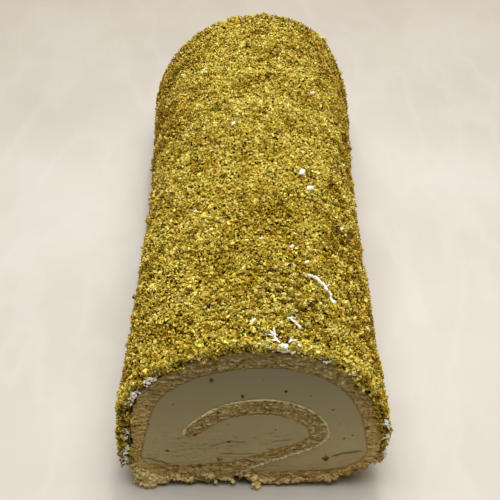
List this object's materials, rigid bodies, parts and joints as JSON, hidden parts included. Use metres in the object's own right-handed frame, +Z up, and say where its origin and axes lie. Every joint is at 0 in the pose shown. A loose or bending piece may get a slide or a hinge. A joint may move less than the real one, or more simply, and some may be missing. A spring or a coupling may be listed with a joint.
{
  "type": "ice cream roll cake",
  "caption": "Sponge sheet rolled up with ice cream into a long log, filmed with cream and coated in chopped green nuts, cut square at both ends to show its spiral",
  "frame": {"origin": "middle of the underside of the bounding box, on the surface the roll lies on", "axes": "+Z up, Y along the roll with the cut that the picture shows at -Y, +X to the right as seen from that cut"},
  "size_m": [0.109, 0.262, 0.081],
  "materials": {
    "sponge": "matt open crumb, tan on its rolled-in side",
    "ice_cream": "smooth and frozen, soft satin",
    "cream": "whipped, soft satin",
    "nut_crumbs": "rough chopped nuts, dull"
  },
  "bodies": {
    "root": {"sponge": "sponge", "filling": "ice_cream", "cream_film": "cream", "crumb_coat": "nut_crumbs"}
  },
  "joints": []
}
